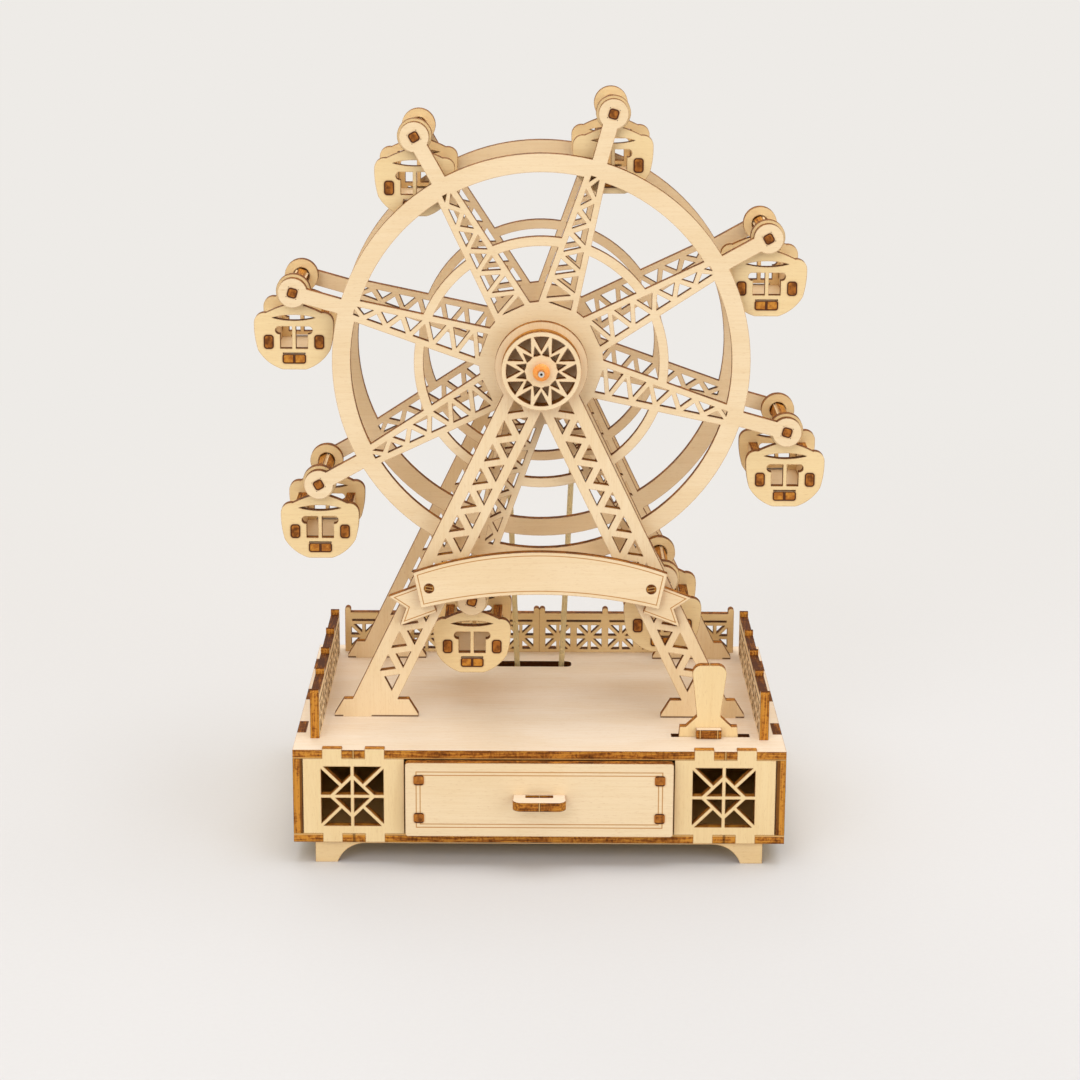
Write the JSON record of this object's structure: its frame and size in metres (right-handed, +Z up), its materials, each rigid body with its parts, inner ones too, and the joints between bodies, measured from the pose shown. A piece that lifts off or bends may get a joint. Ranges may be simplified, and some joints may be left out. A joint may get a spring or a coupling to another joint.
{
  "type": "hand-cranked toy ferris wheel",
  "caption": "Laser-cut plywood toy ferris wheel on a box base with a drawer, level-hanging gondolas, a belt drive and a rear hand crank.",
  "frame": {"origin": "on the table, under the middle of the whole toy at rest", "axes": "+X to the viewer's right facing the drawer, +Y from the drawer to the crank, +Z up"},
  "size_m": [0.191, 0.152, 0.2482],
  "materials": {
    "basswood_ply": "raw sanded basswood plywood with dark laser-burnt edges",
    "steel_rod": "plain drawn steel rod",
    "silicone_cap": "translucent orange silicone",
    "plastic_tube": "natural white plastic tube",
    "belt_cord": "pale translucent elastic cord"
  },
  "bodies": {
    "base": {"deck": "basswood_ply", "floor_panel": "basswood_ply", "left_side_panel": "basswood_ply", "right_side_panel": "basswood_ply", "back_panel": "basswood_ply", "bearing_wall": "basswood_ply", "left_partition": "basswood_ply", "right_partition": "basswood_ply", "left_lattice_panel": "basswood_ply", "right_lattice_panel": "basswood_ply", "front_foot_rail": "basswood_ply", "rear_foot_rail": "basswood_ply", "left_fence": "basswood_ply", "right_fence": "basswood_ply", "back_fence_right": "basswood_ply", "back_fence_left": "basswood_ply", "front_frame": "basswood_ply", "rear_frame": "basswood_ply", "banner": "basswood_ply", "banner_tail_left": "basswood_ply", "banner_tail_right": "basswood_ply", "banner_pins": "basswood_ply", "rosette": "basswood_ply", "rosette_rings": "basswood_ply", "drive_belt": "belt_cord"},
    "wheel": {"wheel_disc_front": "basswood_ply", "wheel_disc_rear": "basswood_ply", "gondola_pin_strips_a": "basswood_ply", "gondola_pin_strips_b": "basswood_ply", "hub_struts": "basswood_ply", "wheel_axle": "steel_rod", "axle_cap_front": "silicone_cap", "axle_cap_rear": "silicone_cap", "axle_spacers": "plastic_tube", "driven_pulley_core": "basswood_ply", "driven_pulley_flanges": "basswood_ply"},
    "gondola_1": {"gondola_1": "basswood_ply"},
    "gondola_2": {"gondola_2": "basswood_ply"},
    "gondola_3": {"gondola_3": "basswood_ply"},
    "gondola_4": {"gondola_4": "basswood_ply"},
    "gondola_5": {"gondola_5": "basswood_ply"},
    "gondola_6": {"gondola_6": "basswood_ply"},
    "gondola_7": {"gondola_7": "basswood_ply"},
    "gondola_8": {"gondola_8": "basswood_ply"},
    "crank": {"crank_axle_a": "basswood_ply", "crank_axle_b": "basswood_ply", "drive_pulley_core": "basswood_ply", "drive_pulley_flanges": "basswood_ply", "crank_arm": "basswood_ply", "crank_pin": "steel_rod", "crank_pin_cap": "silicone_cap"},
    "knob": {"crank_knob": "basswood_ply"},
    "drawer": {"drawer_front": "basswood_ply", "drawer_left": "basswood_ply", "drawer_right": "basswood_ply", "drawer_back": "basswood_ply", "drawer_floor": "basswood_ply", "drawer_pull": "basswood_ply"},
    "stop_lever": {"stop_lever": "basswood_ply", "lever_wedge": "basswood_ply"}
  },
  "joints": [
    {"name": "wheel_spin", "type": "hinge", "parent": "base", "child": "wheel", "pos_m": [0, -0.0035, 0.1602], "axis": [0, 1, 0], "continuous": true},
    {"name": "gondola_1_level", "type": "hinge", "parent": "wheel", "child": "gondola_1", "pos_m": [0.02314, -0.0035, 0.24251], "axis": [0, 1, 0], "continuous": true},
    {"name": "gondola_2_level", "type": "hinge", "parent": "wheel", "child": "gondola_2", "pos_m": [0.07456, -0.0035, 0.20204], "axis": [0, 1, 0], "continuous": true},
    {"name": "gondola_3_level", "type": "hinge", "parent": "wheel", "child": "gondola_3", "pos_m": [0.08231, -0.0035, 0.13706], "axis": [0, 1, 0], "continuous": true},
    {"name": "gondola_4_level", "type": "hinge", "parent": "wheel", "child": "gondola_4", "pos_m": [0.04184, -0.0035, 0.08564], "axis": [0, 1, 0], "continuous": true},
    {"name": "gondola_5_level", "type": "hinge", "parent": "wheel", "child": "gondola_5", "pos_m": [-0.02314, -0.0035, 0.07789], "axis": [0, 1, 0], "continuous": true},
    {"name": "gondola_6_level", "type": "hinge", "parent": "wheel", "child": "gondola_6", "pos_m": [-0.07456, -0.0035, 0.11836], "axis": [0, 1, 0], "continuous": true},
    {"name": "gondola_7_level", "type": "hinge", "parent": "wheel", "child": "gondola_7", "pos_m": [-0.08231, -0.0035, 0.18334], "axis": [0, 1, 0], "continuous": true},
    {"name": "gondola_8_level", "type": "hinge", "parent": "wheel", "child": "gondola_8", "pos_m": [-0.04184, -0.0035, 0.23476], "axis": [0, 1, 0], "continuous": true},
    {"name": "crank_turn", "type": "hinge", "parent": "base", "child": "crank", "pos_m": [0, 0.0535, 0.0235], "axis": [0, 1, 0], "continuous": true},
    {"name": "knob_spin", "type": "hinge", "parent": "crank", "child": "knob", "pos_m": [0.015, 0.0665, 0.0235], "axis": [0, 1, 0], "continuous": true},
    {"name": "drawer_slide", "type": "slide", "parent": "base", "child": "drawer", "axis": [0, -1, 0], "range_m": [0, 0.048]},
    {"name": "stop_lever_slide", "type": "slide", "parent": "base", "child": "stop_lever", "axis": [1, 0, 0], "range_m": [-0.0023, 0.0037]}
  ],
  "couplings": [
    {"joint": "gondola_1_level", "follows": "wheel_spin", "ratio": -1},
    {"joint": "gondola_2_level", "follows": "wheel_spin", "ratio": -1},
    {"joint": "gondola_3_level", "follows": "wheel_spin", "ratio": -1},
    {"joint": "gondola_4_level", "follows": "wheel_spin", "ratio": -1},
    {"joint": "gondola_5_level", "follows": "wheel_spin", "ratio": -1},
    {"joint": "gondola_6_level", "follows": "wheel_spin", "ratio": -1},
    {"joint": "gondola_7_level", "follows": "wheel_spin", "ratio": -1},
    {"joint": "gondola_8_level", "follows": "wheel_spin", "ratio": -1},
    {"joint": "crank_turn", "follows": "wheel_spin", "ratio": 1.8082}
  ]
}
